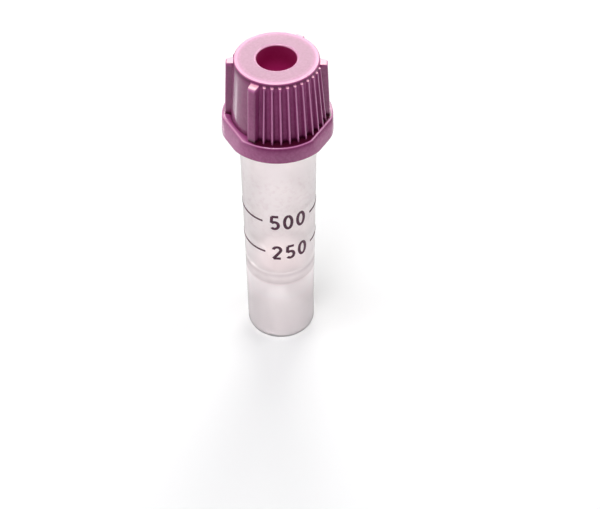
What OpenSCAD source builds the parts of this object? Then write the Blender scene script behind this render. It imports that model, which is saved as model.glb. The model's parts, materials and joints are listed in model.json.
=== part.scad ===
// Capped micro blood collection tube.
// The tube stands on its open skirt at z = 0, with its axis on Z. A false floor closes the tube
// part way up. The cap sits on the mouth, with a plug inside it and a ribbed skirt around it.
// The middle of one smooth panel of the cap faces -X.

/* [Tube] */
// Outer diameter of the tube just under the cap
body_d = 9.4; // [7.6:0.1:11.5]
// How much slimmer the foot is than the top of the tube
taper = 0.2; // [0:0.05:0.4]
// Wall of the tube
wall = 0.85; // [0.6:0.05:1.1]
// Height of the mouth above the foot
tube_h = 42.3; // [33:0.1:60]
// Height of the false floor's underside, the depth of the hollow foot
floor_z = 10.8; // [6:0.1:15]
// Thickness of the false floor
floor_t = 1.1; // [0.7:0.05:1.6]
// Fillet between the floor and the wall inside the tube
floor_fillet = 1.4; // [0.5:0.1:2]
// Wall of the hollow skirt
skirt_wall = 0.7; // [0.5:0.05:1]

/* [Foot notch] */
// Direction of the notch's middle, from +X towards +Y
notch_turn = 70; // [0:5:360]
// Angle that the notch takes of the rim
notch_angle = 42; // [10:1:60]
// Height of the notch
notch_h = 0.9; // [0.4:0.1:2]

/* [Neck] */
// Wall of the slimmer neck that the cap covers
neck_wall = 0.6; // [0.45:0.05:0.75]
// Height of the rounded bead around the neck
bead_h = 0.7; // [0.4:0.1:1]
// How far the bead stands out of the neck
bead_out = 0.17; // [0.08:0.01:0.22]
// Depth of the bead's middle below the mouth
bead_drop = 2.3; // [1.5:0.1:3]
// Lugs that centre the cap's mouth
lug_count = 8; // [4:1:10]
// Width of a lug
lug_w = 1.0; // [0.6:0.1:1.4]
// Height of a lug
lug_h = 1.3; // [0.8:0.1:1.6]
// How far a lug stands out of the tube
lug_out = 0.58; // [0.3:0.02:0.7]

/* [Cap] */
// Height of the cap
cap_h = 10.25; // [8.5:0.05:12.5]
// Thickness of the cap above the tube's mouth
top_t = 2.35; // [1.5:0.05:3]
// Wall of the cap's skirt between the ribs, at the flange
side_wall = 0.84; // [0.7:0.02:1.2]
// How far the skirt leans in from the flange to the top
side_lean = 0.57; // [0.2:0.01:0.6]
// Height of the flange
flange_h = 2.3; // [2:0.1:3]
// Wall of the flange at the mouth
flange_wall = 1.34; // [1.1:0.02:1.6]
// How far the flange leans in from the mouth to its top
flange_lean = 0.14; // [0.05:0.01:0.25]
// Flats on the flange
flat_count = 3; // [1:1:4]
// How deep a flat cuts into the flange's upper edge
flat_depth = 0.5; // [0.2:0.02:0.54]
// How deep a flat cuts into the flange's lower edge
flat_depth_low = 0.14; // [0.04:0.02:0.2]
// Diameter of the well in the top
well_d = 4.64; // [3.5:0.02:5.2]
// Depth of the well
well_depth = 5.6; // [4:0.1:6]
// Thickness of the plug's floor under the well
plug_floor = 1.2; // [0.8:0.1:1.4]
// Rounding of the cap's edges
edge = 0.22; // [0.1:0.02:0.26]

/* [Grip] */
// Thin ribs in each of the two ribbed sides
rib_count = 10; // [6:1:10]
// Angle from one thin rib to the next
rib_pitch = 10; // [8:0.5:10]
// Width of a thin rib at the skirt
rib_w = 0.5; // [0.44:0.02:0.6]
// Width of a thin rib's face
rib_face_w = 0.26; // [0.2:0.02:0.4]
// How far a thin rib stands out at the flange
rib_out = 0.44; // [0.2:0.02:0.5]
// How far a thin rib stands out at its top end
rib_out_top = 0.2; // [0.1:0.02:0.4]
// Angle from the middle of a smooth panel to its wide ribs
panel_half_angle = 31.5; // [28:0.5:33]
// Width of a wide rib at the skirt
wide_rib_w = 1.3; // [1.15:0.05:1.4]
// Width of a wide rib's face
wide_rib_face_w = 1.0; // [0.7:0.05:1.05]
// How far a wide rib stands out at the flange
wide_rib_out = 0.72; // [0.5:0.02:0.9]
// How far a wide rib stands out at its top end
wide_rib_out_top = 0.84; // [0.4:0.02:0.9]
// How far below the cap's top the ribs end
rib_drop = 0.5; // [0.3:0.05:1]

/* [Fits] */
// Gap between the neck's bead and the cap
bead_gap = 0.04; // [0.02:0.01:0.1]
// Gap between the plug's sealing ring and the mouth
seal_gap = 0.03; // [0.02:0.01:0.08]
// Gap between the lugs and the cap's mouth
lug_gap = 0.1; // [0.05:0.01:0.2]
// How far the plug stands back from the mouth's wall, away from its sealing ring
plug_gap = 0.1; // [0.09:0.01:0.15]

/* [Hidden] */
$fn = 96;
past = 1;                // how far a cutting shape runs past what it cuts
arc_steps = 6;           // steps in a quarter of a rounded edge
under_fillet = 0.7;      // fillet between the floor and the skirt inside the hollow foot
lip = 0.12;              // chamfer on the mouth's rim
step_gap = 0.1;          // space between the tube's shoulder and the cap
shoulder_drop = 0.5;     // how far the shoulder lies under the flange's top
root = 0.15;             // how deep a rib is rooted in the skirt and the flange
rib_bevel = 0.2;         // bevel at a rib's top end, as a share of how far it stands out
seal_h = 0.8;            // height of the plug's sealing ring
seal_drop = 1.2;         // depth of the sealing ring's middle below the mouth
plug_nose = 0.5;         // chamfer at the plug's lower end
tube_colour = [0.9, 0.87, 0.88, 0.6];
cap_colour = [0.72, 0.47, 0.61];

// Tube
body_r = body_d / 2;
skirt_r = body_r - taper / 2;
hollow_r = skirt_r - skirt_wall;
inner_floor_z = floor_z + floor_t;
floor_r = skirt_r - wall;
mouth_r = body_r - wall;
neck_r = mouth_r + neck_wall;
bead_r = neck_r + bead_out;
lug_r = body_r + lug_out;

// Cap, placed from the tube's mouth
cap_top_z = tube_h + top_t;
cap_z = cap_top_z - cap_h;
flange_z = cap_z + flange_h;
shoulder_z = flange_z - shoulder_drop;
cap_bore_r = bead_r + bead_gap;
cap_mouth_r = lug_r + lug_gap;
side_r = cap_bore_r + side_wall;
top_r = side_r - side_lean;
flange_r = cap_mouth_r + flange_wall;
flange_top_r = flange_r - flange_lean;
flat_top_r = flange_top_r - flat_depth;
flat_low_r = flange_r - flat_depth_low;
flat_tilt = atan((flat_low_r - flat_top_r) / flange_h);
side_tilt = atan(side_lean / (cap_top_z - flange_z));
rib_top_z = cap_top_z - rib_drop;
well_r = well_d / 2;
well_z = cap_top_z - well_depth;
plug_z = well_z - plug_floor;
plug_r = mouth_r - plug_gap;
seal_r = mouth_r - seal_gap;

// Radius of the cap's skirt between the ribs at height z
function side_at(z) = side_r - side_lean * (z - flange_z) / (cap_top_z - flange_z);

// Points of an elliptical arc in the radius-height plane
function arc(r, z, a, b, from, to) =
    [for (i = [0 : arc_steps])
        let (t = from + (to - from) * i / arc_steps) [r + a * cos(t), z + b * sin(t)]];

// Half section of the tube, from the foot up the outside and down the inside
function tube_section() = concat(
    [[hollow_r, 0], [skirt_r, 0], [skirt_r, floor_z], [body_r, shoulder_z], [neck_r, shoulder_z]],
    arc(neck_r, tube_h - bead_drop, bead_out, bead_h / 2, -90, 90),
    [[neck_r, tube_h - lip], [neck_r - lip, tube_h], [mouth_r + lip, tube_h],
     [mouth_r, tube_h - lip], [mouth_r, shoulder_z]],
    arc(floor_r - floor_fillet, inner_floor_z + floor_fillet, floor_fillet, floor_fillet, 0, -90),
    [[0, inner_floor_z], [0, floor_z]],
    arc(hollow_r - under_fillet, floor_z - under_fillet, under_fillet, under_fillet, 90, 0)
);

// One lug under the shoulder, with a slanted lower end
module lug() {
    rotate([90, 0, 0])
        linear_extrude(lug_w, center = true)
            polygon([[neck_r - root, shoulder_z - lug_h - lug_out], [body_r, shoulder_z - lug_h - lug_out],
                     [lug_r, shoulder_z - lug_h], [lug_r, shoulder_z], [neck_r - root, shoulder_z]]);
}

module foot_notch() {
    rotate([0, 0, notch_turn - notch_angle / 2])
        rotate_extrude(angle = notch_angle)
            translate([hollow_r - past, -past])
                square([skirt_wall + 2 * past, notch_h + past]);
}

module tube() {
    color(tube_colour) {
        difference() {
            rotate_extrude() polygon(tube_section());
            foot_notch();
        }
        for (i = [0 : lug_count - 1])
            rotate([0, 0, 360 * i / lug_count])
                lug();
    }
}

// Half section of the cap without its ribs, from the mouth up the outside and down the well
function cap_section() = concat(
    [[cap_mouth_r, cap_z]],
    arc(flange_r - edge, cap_z + edge, edge, edge, -90, 0),
    arc(flange_top_r - edge, flange_z - edge, edge, edge, 0, 90),
    [[side_r, flange_z]],
    arc(top_r - edge, cap_top_z - edge, edge, edge, 0, 90),
    arc(well_r + edge, cap_top_z - edge, edge, edge, 90, 180),
    [[well_r, well_z], [0, well_z], [0, plug_z], [plug_r - plug_nose, plug_z],
     [plug_r, plug_z + plug_nose]],
    arc(plug_r, tube_h - seal_drop, seal_r - plug_r, seal_h / 2, -90, 90),
    [[plug_r, tube_h], [cap_bore_r, tube_h], [cap_bore_r, shoulder_z + step_gap],
     [cap_mouth_r, shoulder_z + step_gap]]
);

// What the flats take away: each leans in towards the flange's top, and stops at that height
module flange_flats() {
    intersection() {
        for (i = [0 : flat_count - 1])
            rotate([0, 0, 180 + 360 * i / flat_count])
                translate([flat_top_r, 0, flange_z])
                    rotate([0, -flat_tilt, 0])
                        translate([0, -flange_r, -2 * flange_h])
                            cube([flange_r, 2 * flange_r, 3 * flange_h]);
        translate([0, 0, cap_z - past])
            cylinder(h = flange_h + past, r = 2 * flange_r);
    }
}

// A rib's outline from the side, standing out by low at the flange and by high at its top end
function rib_side(low, high) =
    let (bevel = high * rib_bevel)
    [[cap_bore_r + root, flange_z - root], [side_r + low, flange_z - root],
     [side_at(rib_top_z - bevel) + high, rib_top_z - bevel],
     [side_at(rib_top_z) + high - bevel, rib_top_z],
     [cap_bore_r + root, rib_top_z]];

// A rib leans in with the skirt, and narrows from w at the skirt to face_w at its face
module rib(w, face_w, low, high) {
    narrowing = (w - face_w) / low;
    root_w = w + narrowing * (side_r - cap_bore_r);
    tip_w = face_w / 2;
    tip = side_r + low + tip_w / narrowing;
    intersection() {
        rotate([90, 0, 0])
            linear_extrude(root_w, center = true)
                polygon(rib_side(low, high));
        translate([0, 0, flange_z])
            rotate([0, -side_tilt, 0])
                translate([0, 0, -past])
                    linear_extrude(cap_h)
                        polygon([[cap_bore_r, -root_w / 2], [tip, -tip_w / 2],
                                 [tip, tip_w / 2], [cap_bore_r, root_w / 2]]);
    }
}

module cap() {
    color(cap_colour) {
        difference() {
            rotate_extrude() polygon(cap_section());
            flange_flats();
        }
        for (side = [90, 270], i = [0 : rib_count - 1])
            rotate([0, 0, side + (i - (rib_count - 1) / 2) * rib_pitch])
                rib(rib_w, rib_face_w, rib_out, rib_out_top);
        for (panel = [0, 180], edge_side = [-1, 1])
            rotate([0, 0, panel + edge_side * panel_half_angle])
                rib(wide_rib_w, wide_rib_face_w, wide_rib_out, wide_rib_out_top);
    }
}

tube();
cap();
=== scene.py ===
import json
import math

import bpy
import numpy as np
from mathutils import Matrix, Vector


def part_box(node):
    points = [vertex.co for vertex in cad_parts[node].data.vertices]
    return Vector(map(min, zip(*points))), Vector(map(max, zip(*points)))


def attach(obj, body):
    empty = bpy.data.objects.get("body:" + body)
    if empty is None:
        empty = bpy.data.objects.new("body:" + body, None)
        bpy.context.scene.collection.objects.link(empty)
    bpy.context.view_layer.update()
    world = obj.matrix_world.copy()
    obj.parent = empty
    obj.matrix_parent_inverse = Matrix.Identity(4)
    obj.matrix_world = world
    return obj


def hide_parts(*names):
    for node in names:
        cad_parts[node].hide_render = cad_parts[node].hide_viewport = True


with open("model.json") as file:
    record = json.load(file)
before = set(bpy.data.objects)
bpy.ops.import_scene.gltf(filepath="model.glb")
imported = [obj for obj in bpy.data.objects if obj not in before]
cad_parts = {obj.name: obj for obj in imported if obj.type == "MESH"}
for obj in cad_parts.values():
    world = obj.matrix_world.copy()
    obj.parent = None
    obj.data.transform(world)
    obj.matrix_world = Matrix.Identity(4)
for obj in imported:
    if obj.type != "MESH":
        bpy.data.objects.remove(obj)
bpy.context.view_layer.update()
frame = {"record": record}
print("frame loaded")

mm = 0.001
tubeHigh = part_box("tube")[1] / mm
capLow, capHigh = (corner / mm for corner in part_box("cap"))
mounts = {mount["name"]: mount["dims"] for mount in frame["record"]["mounts"]}


# a moulded piece is a grid of points: rows along a profile of (r, z), columns around the axis

def straight(start, end, steps):
    # points start + (end - start) t, evenly spaced, up to and not including end
    return np.linspace(start, end, steps, endpoint=False)


def rounded(r, z, width, height, fromAngle, toAngle, steps):
    # an elliptical arc about (r, z): r + width cos a, z + height sin a, with a from one angle to the other
    a = np.radians(np.linspace(fromAngle, toAngle, steps))
    return np.stack([r + width * np.cos(a), z + height * np.sin(a)], 1)


def featureColumns(centres, root, face, corner, paintedShadings):
    # columns across one raised feature, from its foot up a drafted side to a quarter circle at the face;
    # a column is (centre angle, offset along the circle, lifted or not, drop below full height, painted
    # shading), and the last argument holds the painted highlight and shade values from the foot to the
    # middle, on the first side and on the other
    turn = np.radians([90, 60, 30, 0])
    flat = face / 2 - corner
    offsets = [root / 2, *(flat + corner * np.sin(turn)), flat * 0.6]  # the last one lies on the flat face
    lifted = [0, 1, 1, 1, 1, 1]
    drops = [0, *(corner * (1 - np.cos(turn))), 0]
    first, other = (list(zip(offsets, lifted, drops, relief)) for relief in paintedShadings)
    across = [(-offset, *rest) for offset, *rest in first] + other[::-1]
    return [(centre, *column) for centre in centres for column in across]


def columnSet(groups, reference, plainStep, plainPaintedShading):
    # all columns around the axis in order of angle, a feature's at angle = centre + asin(offset / reference);
    # plain ones fill the stretches between features
    rows = []
    for kind, group in enumerate(groups, 1):
        rows += [(centre + math.asin(offset / reference), centre, lifted, drop, relief, kind)
                 for centre, offset, lifted, drop, relief in group]
    rows.sort(key=lambda row: row[0] % math.tau)
    for here, after in zip(rows[:], rows[1:] + rows[:1]):
        gap = (after[0] - here[0]) % math.tau
        count = 0 if here[2] or after[2] else int(gap / plainStep)
        angles = [here[0] + gap * k / (count + 1) for k in range(1, count + 1)]
        rows += [(angle, angle, 0, 0, plainPaintedShading, 0) for angle in angles]
    table = np.array(sorted(rows, key=lambda row: row[0] % math.tau))
    names = ["angle", "centre", "lifted", "drop", "relief", "kind"]
    return {name: table[:, k] for k, name in enumerate(names)}


def aroundAxis(radius, height, lift, columns):
    # a point = radius along its own angle + lift along its feature's centre line, at its height
    rise = columns["lifted"] * np.maximum(lift - columns["drop"], 0)
    x = radius * np.cos(columns["angle"]) + rise * np.cos(columns["centre"])
    y = radius * np.sin(columns["angle"]) + rise * np.sin(columns["centre"])
    return np.stack([x, y, height + 0 * x], 2)


def gridFaces(rows, columns):
    # quads between neighbouring rows, closed around the columns
    index = np.arange(rows * columns).reshape(rows, columns)
    across = np.roll(index, -1, 1)
    return np.stack([index[:-1], index[1:], across[1:], across[:-1]], 2).reshape(-1, 4)


def placed(name, data):
    # an object that holds this mesh, camera or lamp, linked to the scene
    made = bpy.data.objects.new(name, data)
    bpy.context.scene.collection.objects.link(made)
    return made


def closedPiece(name, points, poles, sharpAngle, marks):
    # a closed skin: the grid, and a fan from each end row to its pole on the axis;
    # marks are named values kept on the points for the material
    rows, columns = points.shape[:2]
    verts = np.concatenate([points.reshape(-1, 3), np.array(poles)]) * mm
    ring = np.arange(columns)
    nextOne = np.roll(ring, -1)
    firstPole = np.full(columns, rows * columns)
    last = (rows - 1) * columns
    fans = np.concatenate([np.stack([firstPole, ring, nextOne], 1),
                           np.stack([last + ring, firstPole + 1, last + nextOne], 1)])
    mesh = bpy.data.meshes.new(name)
    mesh.from_pydata(verts.tolist(), [], gridFaces(rows, columns).tolist() + fans.tolist())
    mesh.shade_smooth()
    mesh.set_sharp_from_angle(angle=math.radians(sharpAngle))
    for mark, values in marks.items():
        padded = np.append(values.ravel(), np.zeros(len(poles)))
        mesh.attributes.new(mark, "FLOAT", "POINT").data.foreach_set("value", padded)
    return placed(name, mesh)


class Wire:
    # a shader socket that works in Python expressions: each operator adds a Math node
    def __init__(self, tree, socket=None):
        self.tree = tree
        self.socket = socket

    def node(self, kind, settings=None, inputs=None, output=0):
        # a new node: first its settings, then the value or the link of each input
        made = self.tree.nodes.new("ShaderNode" + kind)
        for key, value in (settings or {}).items():
            setattr(made, key, value)
        for key, value in (inputs or {}).items():
            if isinstance(value, Wire):
                self.tree.links.new(value.socket, made.inputs[key])
            else:
                made.inputs[key].default_value = value
        return Wire(self.tree, made.outputs[output] if made.outputs else None)

    def sockets(self, *names):
        # named sockets of the node that this one belongs to
        return [Wire(self.tree, self.socket.node.outputs[name]) for name in names]

    def math(self, operation, *values):
        # a Math node: operation(values)
        return self.node("Math", {"operation": operation}, dict(enumerate(values)))

    def __add__(self, other):
        return self.math("ADD", self, other)

    def __rsub__(self, other):
        return self.math("SUBTRACT", other, self)

    def __mul__(self, other):
        return self.math("MULTIPLY", self, other)

    __radd__ = __add__
    __rmul__ = __mul__

    def root(self):
        # the square root
        return self.math("SQRT", self)

    def step(self, low, high):
        # 0 below low, 1 above high, smooth between them
        return self.node("MapRange", {"interpolation_type": "SMOOTHSTEP"},
                         {"Value": self, "From Min": low, "From Max": high})

    def mix(self, first, second):
        # the first colour where this is 0, the second where it is 1: sockets 0, 6 and 7 in, and 2 out
        return self.node("Mix", {"data_type": "RGBA"}, {0: self, 6: first, 7: second}, 2)

    def noise(self, scale, detail):
        # a cloudy pattern over this place, finer where the scale is greater
        return self.node("TexNoise", {}, {"Vector": self, "Scale": scale, "Detail": detail})

    def bump(self, depth, strength):
        # a normal tilted by the slope of this height, for a full depth in mm
        return self.node("Bump", {}, {"Height": self, "Distance": depth * mm, "Strength": strength})


def linear(red, green, blue):
    # a colour as read off a screen, 0 to 255, as the linear colour that a shader takes
    c = np.array([red, green, blue]) / 255
    c = np.where(c > 0.04045, ((c + 0.055) / 1.055) ** 2.4, c / 12.92)
    return (*c.tolist(), 1.0)


def tints(colours):
    # each named colour of a piece as its linear colour
    return {name: linear(*levels) for name, levels in colours.items()}


def material(name):
    # an empty material, and a wire that adds nodes to it
    made = bpy.data.materials.new(name)
    made.use_nodes = True
    made.node_tree.nodes.clear()
    return made, Wire(made.node_tree)


def finishMaterial(start, inputs):
    # one shader with these inputs, joined to the surface
    shader = start.node("BsdfPrincipled", {}, inputs)
    start.node("OutputMaterial", {}, {"Surface": shader})


def ownPlace(start):
    # the point's place on its piece, its height, and its distance from the axis: sqrt(x x + y y)
    place = start.node("TexCoord", output="Object")
    x, y, z = start.node("SeparateXYZ", {}, {"Vector": place}).sockets("X", "Y", "Z")
    return place, z, (x * x + y * y).root()


capDesign = {
    "flange height": 2.3, "flange radius": capHigh.x, "flange lean": 0.14, "flange side rows": [1.6, 1.1],
    "flats": 3, "flat depth": 0.5, "flat depth low": 0.14, "corner softness": 24,
    "side radius": 5.5, "top radius": 4.93, "edge": 0.22,
    "well radius": mounts["cap_well"]["r_mm"], "well depth": 5.6, "well corner": 0.45, "lip": 0.2,
    "first ring": 0.3, "wall start": 0.4, "top margin": 0.08,
    "mouth radius": 5.38, "mouth depth": 1.9, "mouth row": 0.9,
    "bore radius": 4.66, "bore lead": 0.15, "bore row": 1.5, "inner edge": 0.1,
    "plug radius": 3.75, "seal radius": 3.82, "seal drop": 1.2, "seal height": 0.7,
    "plug floor": 1.2, "plug nose": 0.5, "plug rings": [1.5, 0.4],
    "thin ribs": 10, "thin pitch": 10, "thin root": 0.52, "thin face": 0.26, "thin corner": 0.1,
    "thin low": 0.44, "thin high": 0.2,
    "wide angle": 31.5, "wide root": 1.3, "wide face": 1.04, "wide corner": 0.12,
    "wide low": 0.72, "wide high": 0.84, "panel margin": 7,
    "rib drop": 0.5, "bevel": 0.2, "end row": 0.01, "plain step": 1.6, "sharp angle": 32,
    # painted shading: 0 on plain plastic, up to 2 for a painted highlight on an edge and down to -1.6 for
    # painted shade in a groove
    "thin relief": [-0.4, -0.4, -0.1, 0.6, 0.85, 0.85],
    "panel side relief": [-0.5, -0.4, 0.6, 1, 0.0, -0.3],
    "rib side relief": [-0.25, -0.25, -0.3, -0.3, -0.3, -0.3],
    "valley relief": -0.25, "panel relief": -0.45, "top relief": -0.3,
    "lip relief": [0.1, 0.6, 1.2, 1.5, 1.5, 1.1, 0.4],
    "rim relief": [0, 1.1, 2, 1.0, 0.1, -0.3, -0.7, -0.9],
    "rib end relief": 2, "valley end relief": -0.6, "bevel relief": 0.5,
    # painted shading on the flange's rows: deep painted shade in the ledge by the ribs and painted highlights
    # on its edge, brighter by the panels
    "ledge by ribs": [-1.6, -1.5, -1.0, 0.4, 1.2, 0.0, -0.4, -0.5, -0.1, 0],
    "ledge by panel": [-0.1, 0.5, 0.9, 1.4, 1.4, 0.7, 0.2, 0.0, 0.1, 0.2],
    "ledge rows": [0.3, 0.75], "ledge change": 36, "ledge change width": 12,
    # painted shade that deepens towards the ribs' feet: how high it reaches, and how strong by the panels, on
    # the crests and in the valleys
    "shade height": 0.75, "crest from": 0.5, "panel shade": 0.45, "crest shade": 0.3, "valley shade": 1.2,
    "groove dulling": 4, "rim gloss": 0.5, "rib end gloss": 0.2,
    "colours": {
        # plain and pale are the plastic's own tones; crest and rim are painted highlights, crease and pit
        # painted shade, the well's red is painted shade deep in the recess, and the glows are painted light
        "plain": (155, 64, 123), "pale": (176, 84, 142), "crest": (208, 128, 180), "rim": (255, 203, 218),
        "crease": (104, 20, 74), "pit": (66, 0, 32), "well": (64, 0, 26),
        "well glow": (96, 2, 41), "deep glow": (130, 18, 70), "rim glow": (74, 42, 48), "no glow": (0, 0, 0),
    },
    "roughness": 0.38, "specular": 0.2, "coat": 0.85, "coat roughness": 0.14,
    "cloud scale": 500, "grain scale": 2800, "grain depth": 0.012, "grain strength": 0.6,
    # how deep the painted shading must go for the crease and the pit colours of painted shade
    "crease span": (-0.2, 1), "pit span": (0.7, 1.3),
    # mm, for where the well's painted shade and painted glow reach: the first outside the well's wall, the
    # others down from the top
    "well wall blend": 0.06, "well floor blend": (6, 5.5), "deep blend": (3.8, 1.6),
}


def flangeOutline(angle, up):
    # distance of the flange's side from the axis, up = 0 at its lower edge and 1 at its upper edge:
    # a leaning cone cut by leaning flats, joined with a soft minimum that rounds the corners between them
    s = capDesign
    step = math.tau / s["flats"]
    offFlat = (angle - math.pi + step / 2) % step - step / 2
    cone = s["flange radius"] - s["flange lean"] * up
    flat = s["flange radius"] - s["flat depth low"] * (1 - up) - (s["flange lean"] + s["flat depth"]) * up
    cut = flat / np.cos(offFlat)
    soft = s["corner softness"]
    return cone - np.log(1 + np.exp(-soft * (cut - cone))) / soft


def wholeRing(profile, columns, relief):
    # rows of one radius and height all the way round: radius, height, lift and painted shading of every point
    flat = np.zeros((len(profile), len(columns["angle"])))
    return profile[:, :1] + flat, profile[:, 1:] + flat, flat, np.asarray(relief, float)[:, None] + flat


def capTop(columns):
    # the well's floor and wall, its rounded lip, the flat top and the rounded rim
    s = capDesign
    top, topR, wellR, edge, lip = capHigh.z, s["top radius"], s["well radius"], s["edge"], s["lip"]
    corner, margin = s["well corner"], s["top margin"]
    floorZ = top - s["well depth"]
    well = np.concatenate([
        straight((s["first ring"], floorZ), (wellR - corner, floorZ), 4),
        rounded(wellR - corner, floorZ + corner, corner, corner, -90, 0, 6),
        straight((wellR, floorZ + corner + s["wall start"]), (wellR, top - lip), 5),
    ])
    profile = np.concatenate([
        well,
        rounded(wellR + lip, top - lip, lip, lip, 180, 90, 7),
        straight((wellR + lip + margin, top), (topR - edge - margin, top), 6),
        rounded(topR - edge, top - edge, edge, edge, 90, 0, 7),
    ])
    # painted shading: a painted highlight on the well's lip, painted shade on the flat top, and on the rim a
    # painted highlight above painted shade, which begins on the last of the flat's six rows
    relief = [0] * len(well) + s["lip relief"] + [s["top relief"]] * 5 + s["rim relief"]
    return wholeRing(profile, columns, relief)


def capSide(columns):
    # from the ribs' top ends down to the flange: each rib's end lies flat, then bevels over to its face;
    # radius and lift change evenly with the way down; the ribs' ends get a painted highlight, and painted
    # shade deepens with the square near the foot
    s = capDesign
    top, flangeTop = capHigh.z, capLow.z + s["flange height"]
    onRib, wide, relief = columns["lifted"] > 0, columns["kind"] == 2, columns["relief"]
    low = np.where(wide, s["wide low"], s["thin low"])
    high = np.where(wide, s["wide high"], s["thin high"])
    length = top - s["rib drop"] - flangeTop
    drop = s["bevel"] * high
    u = np.linspace(0.05, 1, 14)[:, None]  # share of the way down the face
    facing = drop + (length - drop) * u
    down = np.concatenate([[0 * high, s["end row"] + 0 * high, drop], facing])
    lift = np.concatenate([[0 * high, high * (1 - s["bevel"]), high], high + (low - high) * facing / length])
    foot = np.maximum(0, 1 - length * (1 - u) / s["shade height"]) ** 2
    # painted shade at the foot: less by the panels and on the crests, most in the valleys
    byRibs = np.where(relief > s["crest from"], s["crest shade"], s["valley shade"])
    shade = np.where(columns["panel"], s["panel shade"], byRibs)
    end = np.where(onRib, s["rib end relief"], s["valley end relief"])
    bevel = np.where(onRib, s["bevel relief"], relief)
    height = top - s["rib drop"] - down
    radius = s["top radius"] + (s["side radius"] - s["top radius"]) * (top - height) / (top - flangeTop)
    return radius, height, lift, np.concatenate([[end, end, bevel], relief - foot * shade])


def capFlange(columns):
    # the ledge round the ribs' feet, the flange's rounded upper edge, its side and its rounded lower edge:
    # radius = the outline at that height less the edge's inset, edge (1 - cos a)
    s = capDesign
    edge, bottom, sideR = s["edge"], capLow.z, s["side radius"]
    turn = np.radians(np.linspace(90, 0, 6))[:, None]
    ledge = np.array(s["ledge rows"])[:, None]
    flatRows = np.full(ledge.shape, edge)
    upperZ = bottom + s["flange height"] - edge + np.concatenate([flatRows, edge * np.sin(turn)])
    sideZ = bottom + np.array(s["flange side rows"])[:, None]
    lowerZ = bottom + edge - edge * np.sin(turn[::-1])
    inset = edge * (1 - np.cos(turn))
    height = np.concatenate([upperZ, sideZ, lowerZ])
    radius = flangeOutline(columns["angle"], (height - bottom) / s["flange height"])
    radius -= np.concatenate([flatRows, inset, 0 * sideZ, inset[::-1]])
    radius[:2] = sideR + (radius[:2] - sideR) * ledge
    flat = 0 * radius
    # painted shading round the flange, row by row: painted shade in the ledge by the ribs' feet and painted
    # highlights on the upper edge, blended towards the brighter values by the panels; the lower rows keep the
    # last value
    byRibs, byPanel = (np.array(values + values[-1:] * len(turn))[:, None]
                       for values in (s["ledge by ribs"], s["ledge by panel"]))
    change, width = math.radians(s["ledge change"]), math.radians(s["ledge change width"])
    beside = np.clip((change - columns["offPanel"]) / width, 0, 1)
    return radius, height + flat, flat, byRibs + (byPanel - byRibs) * beside


def capInside(columns):
    # the mouth, the bore over the tube's neck, the roof, and the plug with its sealing ring and nose
    s = capDesign
    bottom, roof = capLow.z, tubeHigh.z
    mouthR, boreR, plugR, nose = s["mouth radius"], s["bore radius"], s["plug radius"], s["plug nose"]
    lead, edge = s["bore lead"], s["inner edge"]
    mouthTop = bottom + s["mouth depth"]
    plugZ = capHigh.z - s["well depth"] - s["plug floor"]
    profile = np.concatenate([
        rounded(mouthR + edge, bottom + edge, edge, edge, 270, 180, 3),
        [(mouthR, bottom + s["mouth row"]), (mouthR, mouthTop)],
        [(boreR + lead, mouthTop), (boreR, mouthTop + lead)],
        np.linspace((boreR, mouthTop + s["bore row"]), (boreR, roof), 3),
        [(plugR + edge, roof), (plugR, roof - edge)],
        rounded(plugR, roof - s["seal drop"], s["seal radius"] - plugR, s["seal height"] / 2, 90, -90, 7),
        [(plugR, plugZ + nose), (plugR - nose, plugZ)],
        [(ring, plugZ) for ring in s["plug rings"]],
    ])
    return wholeRing(profile, columns, np.zeros(len(profile)))


def capColumns():
    # thin ribs at an even pitch on two sides, and a wide rib on each side of the two smooth panels
    s = capDesign
    middle = (s["thin ribs"] - 1) / 2
    thinCentres = [math.radians(side + (k - middle) * s["thin pitch"])
                   # painted shading of each column: thin ribs alike on both sides, the wide ribs with a
                   # painted highlight on the side toward the panel
                   for side in (90, 270) for k in range(s["thin ribs"])]
    bothAlike = [s["thin relief"]] * 2
    thin = featureColumns(thinCentres, s["thin root"], s["thin face"], s["thin corner"], bothAlike)
    bothSides = [s["rib side relief"], s["panel side relief"]]
    wide = []
    for sign in (-1, 1):
        centres = [math.radians(panel + sign * s["wide angle"]) for panel in (0, 180)]
        wide += featureColumns(centres, s["wide root"], s["wide face"], s["wide corner"], bothSides[::-sign])
    columns = columnSet([thin, wide], s["side radius"], math.radians(s["plain step"]), s["valley relief"])
    columns["offPanel"] = np.abs((columns["angle"] + math.pi / 2) % math.pi - math.pi / 2)
    columns["panel"] = columns["offPanel"] < math.radians(s["wide angle"] - s["panel margin"])
    # the panels get painted shade
    columns["relief"] = np.where(columns["panel"], s["panel relief"], columns["relief"])
    return columns


def capGloss(columns, relief, topRows):
    # 1 on the top, the panels and the wide ribs, 1 + dulling * painted shading in the grooves,
    # and less on the top's rim and on the ribs' ends
    s = capDesign
    rimRows, endRows = 6, 3
    groove = np.clip(1 + s["groove dulling"] * relief, 0, 1)
    gloss = np.where(columns["panel"] | (columns["kind"] == 2), 1, groove)
    gloss[:topRows] = 1
    gloss[topRows - rimRows:topRows] = s["rim gloss"]
    gloss[topRows:topRows + endRows] = s["rib end gloss"]
    return gloss


def makeCap():
    # the skin runs from the well's floor over the top, down the ribbed side, round the flange,
    # up the inside to the roof over the tube's mouth, and down the plug to its nose
    s = capDesign
    columns = capColumns()
    parts = [capTop(columns), capSide(columns), capFlange(columns), capInside(columns)]
    radius, height, lift, relief = (np.concatenate([part[k] for part in parts]) for k in range(4))
    points = aroundAxis(radius, height, lift, columns)
    wellFloor = capHigh.z - s["well depth"]
    poles = [(0, 0, wellFloor), (0, 0, wellFloor - s["plug floor"])]
    gloss = capGloss(columns, relief, len(parts[0][0]))
    return closedPiece("cap_body", points, poles, s["sharp angle"], {"relief": relief, "gloss": gloss})


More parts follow.
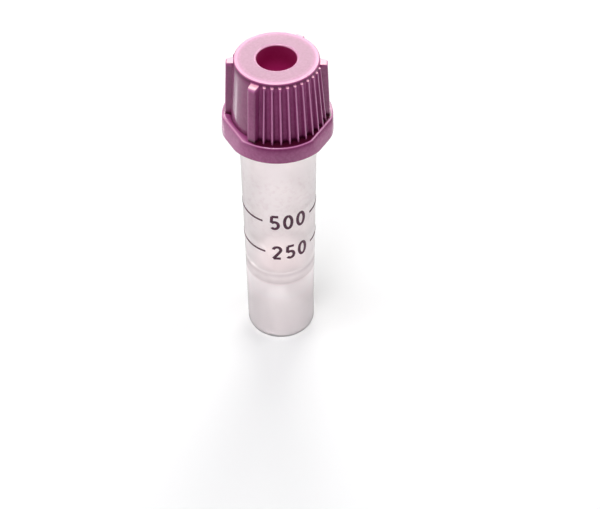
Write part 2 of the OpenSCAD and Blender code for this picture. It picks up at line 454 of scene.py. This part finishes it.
def capMaterial():
    # plain and pale plastic mixed by 0.4 cloud + 0.6 grain, tinted up to the rim colour's painted highlight
    # by the painted shading and down to the pit colour's painted shade by its opposite; the well gets a
    # darker red as painted shade, and a painted glow that is a little stronger deep down
    made, start = material("cap mauve plastic")
    s = capDesign
    tint = tints(s["colours"])
    place, z, radius = ownPlace(start)
    relief = start.node("Attribute", {"attribute_name": "relief"}, output="Fac")
    gloss = start.node("Attribute", {"attribute_name": "gloss"}, output="Fac")
    cloud, grain = place.noise(s["cloud scale"], 3), place.noise(s["grain scale"], 3)
    # crest and rim pick out the painted highlights, crease and pit the painted shade
    crest, rim = relief.step(0, 1), relief.step(1, 2)
    groove = 0 - relief
    crease, pit = groove.step(*s["crease span"]), groove.step(*s["pit span"])
    top, wellR = capHigh.z, s["well radius"]
    floorFrom, floorTo = ((top - down) * mm for down in s["well floor blend"])
    deepFrom, deepTo = ((top - down) * mm for down in s["deep blend"])
    nearWall = wellR * 0.99
    inside = 1 - radius.step(nearWall * mm, (wellR + s["well wall blend"]) * mm)
    # inside the well above its floor blend: the well's painted shade and painted glow, with no coat
    inWell = inside * z.step(floorFrom, floorTo)
    deep = 1 - z.step(deepFrom, deepTo)
    plastic = (cloud.step(0.3, 0.7) * 0.4 + grain.step(0.3, 0.7) * 0.6).mix(tint["plain"], tint["pale"])
    # the plastic with painted highlights, then with painted shade
    raised = crest.mix(plastic, rim.mix(tint["crest"], tint["rim"]))
    shaded = crease.mix(raised, pit.mix(tint["crease"], tint["pit"]))
    # painted glow: stronger deep in the well, and a little on the brightest painted highlights
    wellGlow = deep.mix(tint["well glow"], tint["deep glow"])
    glow = inWell.mix(rim.mix(tint["no glow"], tint["rim glow"]), wellGlow)
    finishMaterial(start, {
        "Base Color": inWell.mix(shaded, tint["well"]), "Roughness": s["roughness"] + grain * 0.1,
        "Normal": grain.bump(s["grain depth"], s["grain strength"]), "Specular IOR Level": s["specular"],
        "Coat Weight": s["coat"] * (1 - inWell) * gloss, "Coat Roughness": s["coat roughness"],
        "Emission Color": glow, "Emission Strength": 1.0,
    })
    return made


cap = makeCap()
cap.data.materials.append(capMaterial())
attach(cap, "cap")
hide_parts("cap")
print("cap made,", len(cap.data.polygons), "faces")


tubeDesign = {
    "foot radius": mounts["rack_fit"]["r_mm"], "foot height": mounts["rack_fit"]["length_mm"],
    "body radius": 4.7, "shoulder": 36.2, "floor": 1.1, "fillet": 1.4, "wall": 0.85, "foot wall": 0.7,
    "neck radius": 4.45, "neck foot": 0.1, "bead": 0.17, "bead height": 0.7, "bead drop": 2.3, "rim": 0.12,
    "lugs": 8, "lug width": 1.0, "lug height": 1.3, "lug out": 0.58, "lug corner": 0.08,
    "lug edge": 0.06, "lug row": 0.3,
    "notch turn": 70, "notch angle": 42, "notch height": 0.9, "notch side": 0.6, "foot edge": 0.12,
    "floor rings": [0.4, 1.2], "underside rings": [2.0, 0.5],
    "neck row": 2, "row gap": 1, "foot row": 1.2, "fillet row": 0.3,
    "plain step": 3, "sharp angle": 38,
    "colours": {
        # plain and cool are the plastic's own tones and mottle is its dried film; the grey band is painted
        # shade where the floor inside shows through the wall, the foot's tint is painted shade from the
        # shadowed ground in the hollow foot, and the glows are painted light
        "plain": (249, 243, 243), "cool": (245, 240, 241), "band": (164, 156, 160),
        "smoke": (233, 226, 228), "mottle": (234, 224, 227),
        "bottom glow": (116, 110, 110), "foot glow": (92, 88, 90), "no glow": (0, 0, 0),
    },
    "roughness": 0.34, "clear": 1.0, "bending": 1.25,
    "cloud scale": 220, "speck scale": 1500, "grain scale": 4000, "grain depth": 0.01, "grain strength": 0.4,
    "outer skin": (4.1, 4.3), "inner skin": (3.3, 3.8),  # mm from the axis
    # mm above the foot's top, from where each one starts to where it is full, or from full to gone
    "band start": (0.25, 0.4), "band full": (1.2, 2.0), "band end": (1.9, 2.9),
    "bottom start": (0.8, 1.0), "bottom end": (2.2, 4.5), "foot glow end": (-0.1, 0.1),
    "band low": 0.62,  # share of the band's grey low down, where it isn't full yet
    # mm above the ground
    "foot glow start": 5, "smoke full": 1.5, "mottle start": (18, 22), "mottle end": (28, 32),
    "smoke gap": 0.3,  # mm from the foot's top down to where the painted shade in the foot is gone
}


def tubeRadiusAt(z):
    # outer radius: straight up the foot, then widening evenly to the shoulder
    s = tubeDesign
    along = np.clip((z - s["foot height"]) / (s["shoulder"] - s["foot height"]), 0, 1)
    return s["foot radius"] + (s["body radius"] - s["foot radius"]) * along


def tubeInside():
    # the floor, its fillet, the widening bore, the mouth's round rim, the neck with its bead, the shoulder
    s = tubeDesign
    top, rim, fillet, neckR, shoulder = tubeHigh.z, s["rim"], s["fillet"], s["neck radius"], s["shoulder"]
    floorTop, neckFoot = s["foot height"] + s["floor"], s["neck foot"]
    boreR, floorR = s["body radius"] - s["wall"], s["foot radius"] - s["wall"]
    return np.concatenate([
        [(ring, floorTop) for ring in s["floor rings"]],
        rounded(floorR - fillet, floorTop + fillet, fillet, fillet, -90, 0, 10),
        np.linspace((floorR, floorTop + fillet), (boreR, shoulder), 12)[1:],
        np.linspace((boreR, shoulder + s["neck row"]), (boreR, top - rim), 3),
        rounded(boreR + rim, top - rim, rim, rim, 180, 90, 4),
        rounded(neckR - rim, top - rim, rim, rim, 90, 0, 4),
        rounded(neckR, top - s["bead drop"], s["bead"], s["bead height"] / 2, 90, -90, 9),
        [(neckR, shoulder + neckFoot), (neckR + neckFoot, shoulder)],
        [(s["body radius"] - s["lug edge"], shoulder)],
    ])


def tubeOutside():
    # rows down the lugs, the body and the foot, each at the outer radius of its height
    s = tubeDesign
    lugRows = [s["lug edge"], s["lug row"], s["lug height"], s["lug height"] + s["lug out"]]
    lugZ = s["shoulder"] - np.array(lugRows)
    bodyZ = np.linspace(lugZ[-1] - s["row gap"], s["foot height"], 24)
    footZ = np.linspace(s["foot height"] - s["row gap"], s["foot row"], 8)
    height = np.concatenate([lugZ, bodyZ, footZ])
    return np.stack([tubeRadiusAt(height), height], 1)


def footRim():
    # the rim that the tube stands on: two quarter circles, from outside to inside
    s = tubeDesign
    edge, hollowR = s["foot edge"], s["foot radius"] - s["foot wall"]
    return np.concatenate([
        rounded(s["foot radius"] - edge, edge, edge, edge, 0, -90, 4),
        rounded(hollowR + edge, edge, edge, edge, 270, 180, 4),
    ])


def footHollow():
    # up the hollow foot's wall, over a fillet, to the underside of the floor
    s = tubeDesign
    hollowR, high, fillet = s["foot radius"] - s["foot wall"], s["foot height"], s["fillet"] / 2
    return np.concatenate([
        np.linspace((hollowR, s["foot row"]), (hollowR, high - fillet - s["fillet row"]), 9),
        rounded(hollowR - fillet, high - fillet, fillet, fillet, 0, 90, 7),
        [(ring, high) for ring in s["underside rings"]],
    ])


def makeTube():
    # one skin: up the inside, over the mouth, down the outside, round the foot's rim and up the hollow foot;
    # the rim is raised by the notch's height where a column lies within half the notch's angle of its middle,
    # and the first three outer rows stand out where a column lies on a lug
    s = tubeDesign
    lugCentres = [math.tau * k / s["lugs"] for k in range(s["lugs"])]
    lugs = featureColumns(lugCentres, s["lug width"], s["lug width"], s["lug corner"], np.zeros((2, 6)))
    columns = columnSet([lugs], s["body radius"], math.radians(s["plain step"]), 0)
    offNotch = (columns["angle"] - math.radians(s["notch turn"]) + math.pi) % math.tau - math.pi
    within = (math.radians(s["notch angle"] / 2) - np.abs(offNotch)) / math.radians(s["notch side"])
    inside, outside, rim = tubeInside(), tubeOutside(), footRim()
    profile = np.concatenate([inside, outside, rim, footHollow()])
    radius, height = (np.repeat(profile[:, k:k + 1], len(columns["angle"]), 1) for k in (0, 1))
    rimStart, raisedRows = len(inside) + len(outside), 3
    height[rimStart:rimStart + len(rim)] += np.clip(within + 0.5, 0, 1) * s["notch height"]
    lift = np.zeros_like(radius)
    lift[len(inside):len(inside) + raisedRows] = s["lug out"]
    points = aroundAxis(radius, height, lift, columns)
    poles = [(0, 0, s["foot height"] + s["floor"]), (0, 0, s["foot height"])]
    return closedPiece("tube_body", points, poles, s["sharp angle"], {})


def tubeMaterial():
    # plain and cool plastic mixed by a cloud, with painted shade as a grey band over the floor, a mottled
    # stretch of dried film and painted shade darkening the foot towards the ground; the floor inside and the
    # upper foot get a little painted glow
    made, start = material("milky tube plastic")
    s = tubeDesign
    tint = tints(s["colours"])
    place, z, radius = ownPlace(start)
    foot = s["foot height"]

    def aboveFoot(low, high):
        # 0 below foot + low, 1 above foot + high
        return z.step((foot + low) * mm, (foot + high) * mm)

    def aboveGround(low, high):
        # 0 below low, 1 above high
        return z.step(low * mm, high * mm)

    cloud, specks = place.noise(s["cloud scale"], 3), place.noise(s["speck scale"], 3)
    grain = place.noise(s["grain scale"], 2)
    skinFrom, skinTo = (r * mm for r in s["outer skin"])
    innerFrom, innerTo = (r * mm for r in s["inner skin"])
    outer, inner = radius.step(skinFrom, skinTo), 1 - radius.step(innerFrom, innerTo)
    # painted shade over the floor, where it shows through the wall
    shadeBandDepth = s["band low"] + aboveFoot(*s["band full"]) * (1 - s["band low"])
    band = (1 - aboveFoot(*s["band end"])) * aboveFoot(*s["band start"]) * shadeBandDepth * outer
    bottom = aboveFoot(*s["bottom start"]) * (1 - aboveFoot(*s["bottom end"])) * inner
    # painted shade on the foot, darker towards the ground, for the shadowed ground inside it
    smoke = 1 - aboveGround(s["smoke full"], foot - s["smoke gap"])
    mottle = specks.step(0.45, 0.7) * aboveGround(*s["mottle start"])
    mottle = mottle * (1 - aboveGround(*s["mottle end"])) * outer
    upperFoot = aboveGround(s["foot glow start"], foot) * (1 - aboveFoot(*s["foot glow end"])) * outer
    plastic = cloud.step(0.35, 0.65).mix(tint["plain"], tint["cool"])
    colour = smoke.mix(mottle.mix(band.mix(plastic, tint["band"]), tint["mottle"]), tint["smoke"])
    # painted glow on the floor inside and on the upper foot
    glow = bottom.mix(upperFoot.mix(tint["no glow"], tint["foot glow"]), tint["bottom glow"])
    finishMaterial(start, {
        "Base Color": colour, "Roughness": s["roughness"] + grain * 0.1,
        "Normal": grain.bump(s["grain depth"], s["grain strength"]),
        "Transmission Weight": s["clear"], "IOR": s["bending"],
        "Emission Color": glow, "Emission Strength": 1.0,
    })
    return made


tube = makeTube()
tube.data.materials.append(tubeMaterial())
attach(tube, "tube")
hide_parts("tube")
print("tube made,", len(tube.data.polygons), "faces")


printDesign = {
    "proud": 0.012, "thick": 0.03, "stroke": 0.39, "line": 0.26,
    "digit height": 2.5, "digit width": 1.34, "pitch": 1.72, "facing": -103.5,
    "marks": {"250": (17.17, 0.12), "500": (22.64, -0.13)},  # height, and shift round the tube
    "line start": 40.5, "line end": 150, "line points": 60,
    "colours": {"dark": (62, 12, 42), "worn": (90, 32, 66)}, "roughness": 0.5, "speck scale": 3000,
}


def wrapStroke(path, halfWidth):
    # a ribbon: the path's points carry a flat four-sided profile, wrapped round the tube;
    # path gives (distance round the tube, height) in mm, and the angle is facing + distance / radius
    s = printDesign
    path = np.asarray(path, float)
    along = np.gradient(path, axis=0)
    along /= np.linalg.norm(along, axis=1, keepdims=True)
    side = np.stack([-along[:, 1], along[:, 0]], 1) * halfWidth
    over, under = s["proud"] + s["thick"], -s["proud"]
    rings = []
    for across, out in [(1, over), (-1, over), (-1, under), (1, under)]:
        flat = path + side * across
        radius = tubeRadiusAt(flat[:, 1])
        angle = math.radians(s["facing"]) + flat[:, 0] / radius
        radius = radius + out
        rings.append(np.stack([radius * np.cos(angle), radius * np.sin(angle), flat[:, 1]], 1))
    return np.stack(rings, 1)


def ribbonPiece(name, ribbons):
    # joins ribbons into one mesh; each is a closed strip with a flat cap on both ends
    verts, faces, base = [], [], 0
    for ribbon in ribbons:
        verts.append(ribbon.reshape(-1, 3))
        faces += (gridFaces(len(ribbon), 4)[:, ::-1] + base).tolist()
        faces.append([base, base + 1, base + 2, base + 3])
        base += 4 * len(ribbon)
        faces.append([base - 1, base - 2, base - 3, base - 4])
    mesh = bpy.data.meshes.new(name)
    mesh.from_pydata((np.concatenate(verts) * mm).tolist(), [], faces)
    return placed(name, mesh)


def digitStrokes(digit, w, h):
    # the centre lines of a plain numeral inside a box 2w wide and 2h high, its points shares of w and h:
    # 0 is an ellipse, 5 is a bar, a stem and a round bowl, and 2 is an arc that runs down a slope to its foot
    if digit == "0":
        turn = np.linspace(0, math.tau, 40)
        return [np.stack([w * np.sin(turn), h * np.cos(turn)], 1)]
    if digit == "5":
        bowl = h * 0.56
        a = np.radians(np.linspace(140, -140, 32))
        return [np.array([[w, h], [-w * 0.75, h]]), np.array([[-w * 0.72, h], [-w * 0.85, 0]]),
                np.stack([w * np.cos(a), -h + bowl + bowl * np.sin(a)], 1)]
    a = np.radians(np.linspace(170, -35, 26))
    arc = np.stack([w * np.cos(a), h * 0.5 + h * 0.5 * np.sin(a)], 1)
    foot = np.array([[-w, -h]])
    slope = np.linspace(0, 1, 8)[1:, None] * (foot - arc[-1]) + arc[-1]
    return [np.concatenate([arc, slope]), np.array([[-w, -h], [w, -h]])]


def makePrint():
    # each number stands centred on its line's height, and the line runs round from both of its sides
    s = printDesign
    w, h = s["digit width"] / 2 - s["stroke"] / 2, s["digit height"] / 2 - s["stroke"] / 2
    ribbons = []
    for word, (z, shift) in s["marks"].items():
        for k, digit in enumerate(word):
            middle = np.array([(k - 1) * s["pitch"] + shift, z])
            ribbons += [wrapStroke(stroke + middle, s["stroke"] / 2) for stroke in digitStrokes(digit, w, h)]
        for sign in (-1, 1):
            turn = np.radians(np.linspace(s["line start"], s["line end"], s["line points"])) * sign
            path = np.stack([turn * tubeRadiusAt(z) + shift, np.full(s["line points"], z)], 1)
            ribbons.append(wrapStroke(path, s["line"] / 2))
    return ribbonPiece("fill_marks", ribbons)


def inkMaterial():
    # dark and worn ink mixed by fine specks
    made, start = material("dark plum ink")
    s = printDesign
    tint = tints(s["colours"])
    speck = start.node("TexCoord", output="Object").noise(s["speck scale"], 2)
    colour = speck.step(0.35, 0.75).mix(tint["dark"], tint["worn"])
    finishMaterial(start, {"Base Color": colour, "Roughness": s["roughness"] + speck * 0.1})
    return made


marks = makePrint()
marks.data.materials.append(inkMaterial())
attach(marks, "tube")
print("fill marks made")


# places and sizes are in mm, with y along the camera's line of sight
studio = {
    "lens": 69.57, "sensor": 36, "nearest": 5,
    "pitch": 47.12, "turn": -29.9, "camera": (2.65, -105.56, 125.58),
    "floor half": 3000, "floor colour": (226, 226, 228), "floor lift": 0.20,
    "lift under foot": 2.0, "foot blend": 1, "fill": 0.20, "aim height": 20,
    "lamps": {
        "back": {"place": (30, 310, 350), "size": 240, "watts": 1.10, "colour": (1, 0.99, 0.94)},
        "over": {"place": (-40, -60, 460), "size": 140, "watts": 0.65, "colour": (1, 1, 1)},
        "front": {"place": (-100, -220, 420), "size": 120, "watts": 0.30, "colour": (1, 1, 1)},
        "left": {"place": (-360, -40, 180), "size": 200, "watts": 0.42, "colour": (1, 1, 1)},
        "right": {"place": (360, 60, 200), "size": 200, "watts": 0.50, "colour": (1, 1, 1)},
        "low": {"place": (-46, 26, 2), "size": 10, "watts": 0.0006, "colour": (1, 1, 1)},
    },
}


def turned(place):
    # a place given along the camera's line of sight, turned about the upright axis by the camera's turn:
    # (x cos a - y sin a, x sin a + y cos a, z), in metres
    x, y, z = (v * mm for v in place)
    a = math.radians(studio["turn"])
    return (x * math.cos(a) - y * math.sin(a), x * math.sin(a) + y * math.cos(a), z)


def makeCamera():
    # looks down by the pitch, from a place turned like the rest of the studio
    data = bpy.data.cameras.new("camera")
    data.lens = studio["lens"]
    data.sensor_width = studio["sensor"]
    data.clip_start = studio["nearest"] * mm
    camera = placed("camera", data)
    camera.location = turned(studio["camera"])
    camera.rotation_euler = (math.radians(90 - studio["pitch"]), 0, math.radians(studio["turn"]))
    bpy.context.scene.camera = camera


def lookingRay(start):
    # 1 for rays from the camera, and for those that a gloss or a clear wall sends on, until a matt surface
    path = start.node("LightPath")
    camera, glossy, clear, matt = path.sockets(
        "Is Camera Ray", "Is Glossy Ray", "Is Transmission Ray", "Diffuse Depth")
    return (camera + glossy + clear).step(0, 1) * (1 - matt.step(0, 1))


def makeFloor():
    # a wide flat square, lifted to white for what looks at it directly, so that it keeps the shadow;
    # the lift is stronger under the hollow foot, painted light on the floor that shows through the foot's
    # milky wall
    half, blend = studio["floor half"] * mm, studio["foot blend"] * mm
    mesh = bpy.data.meshes.new("floor")
    corners = [(-half, -half, 0), (half, -half, 0), (half, half, 0), (-half, half, 0)]
    mesh.from_pydata(corners, [], [(0, 1, 2, 3)])
    made, start = material("pale floor")
    place = start.node("TexCoord", output="Object")
    distance = start.node("VectorMath", {"operation": "LENGTH"}, {"Vector": place}, "Value")
    footR = tubeDesign["foot radius"] * mm
    outside = distance.step(footR - blend, footR + blend)
    lift = (outside * (1 - studio["lift under foot"]) + studio["lift under foot"]) * studio["floor lift"]
    matt = start.node("BsdfDiffuse", {}, {"Color": linear(*studio["floor colour"])})
    lifted = start.node("AddShader", {}, {0: matt, 1: start.node("Emission")})
    both = start.node("MixShader", {}, {0: lookingRay(start) * lift, 1: matt, 2: lifted})
    start.node("OutputMaterial", {}, {"Surface": both})
    mesh.materials.append(made)
    placed("floor", mesh)


def makeLight():
    # a white world for rays that look at it, dimmer as a fill, and square lamps aimed at the tube
    world = bpy.data.worlds.new("world")
    world.use_nodes = True
    world.node_tree.nodes.clear()
    start = Wire(world.node_tree)
    seen, fill = lookingRay(start), studio["fill"]
    sky = start.node("Background", {}, {"Strength": seen * (1 - fill) + fill})
    start.node("OutputWorld", {}, {"Surface": sky})
    bpy.context.scene.world = world
    for name, lamp in studio["lamps"].items():
        data = bpy.data.lights.new(name, "AREA")
        data.size = lamp["size"] * mm
        data.energy = lamp["watts"]
        data.color = lamp["colour"]
        light = placed(name, data)
        light.location = turned(lamp["place"])
        light.visible_camera = False
        aim = light.location.copy()
        aim.z -= studio["aim height"] * mm
        light.rotation_euler = aim.to_track_quat("Z", "Y").to_euler()


makeCamera()
makeFloor()
makeLight()
bpy.context.scene.view_settings.view_transform = "Standard"
print("camera, floor and light made")
